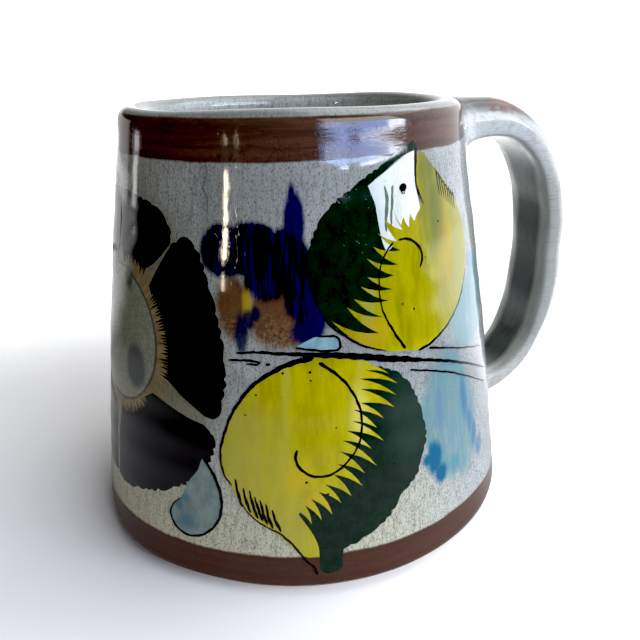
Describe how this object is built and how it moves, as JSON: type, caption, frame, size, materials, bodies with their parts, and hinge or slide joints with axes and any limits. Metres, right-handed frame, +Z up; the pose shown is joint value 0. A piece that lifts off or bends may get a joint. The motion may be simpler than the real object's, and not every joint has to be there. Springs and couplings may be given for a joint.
{
  "type": "painted stoneware mug",
  "caption": "Tapered stoneware drinking mug with a strap handle, rounded lip, brown slip bands and a glazed, brush-painted wall on an unglazed foot ring.",
  "frame": {"origin": "centre of the foot ring's standing face, on the mug's axis", "axes": "+Z up along the mug's axis, +X from the axis towards the handle"},
  "size_m": [0.1223, 0.0992, 0.092],
  "materials": {
    "bare_clay": "unglazed tan stoneware, matt and slightly gritty",
    "grey_glaze": "glossy grey glaze with fine vertical streaks, pinholes and crazing",
    "lip_glaze": "glossy pale grey-green glaze, thin over the lip",
    "brown_slip": "glossy iron-brown slip with brushed horizontal streaks",
    "painted_glaze": "glossy grey glaze over brush-painted butterfly and flowers in green, yellow, cobalt and near-black"
  },
  "bodies": {
    "root": {"clay_body": "bare_clay", "foot_ring": "bare_clay", "liner_glaze": "grey_glaze", "lip_glaze": "lip_glaze", "rim_band": "brown_slip", "wall_glaze": "painted_glaze", "foot_band": "brown_slip", "handle_core": "bare_clay", "handle_glaze": "grey_glaze", "upper_joint": "grey_glaze", "lower_joint": "grey_glaze"}
  },
  "joints": []
}
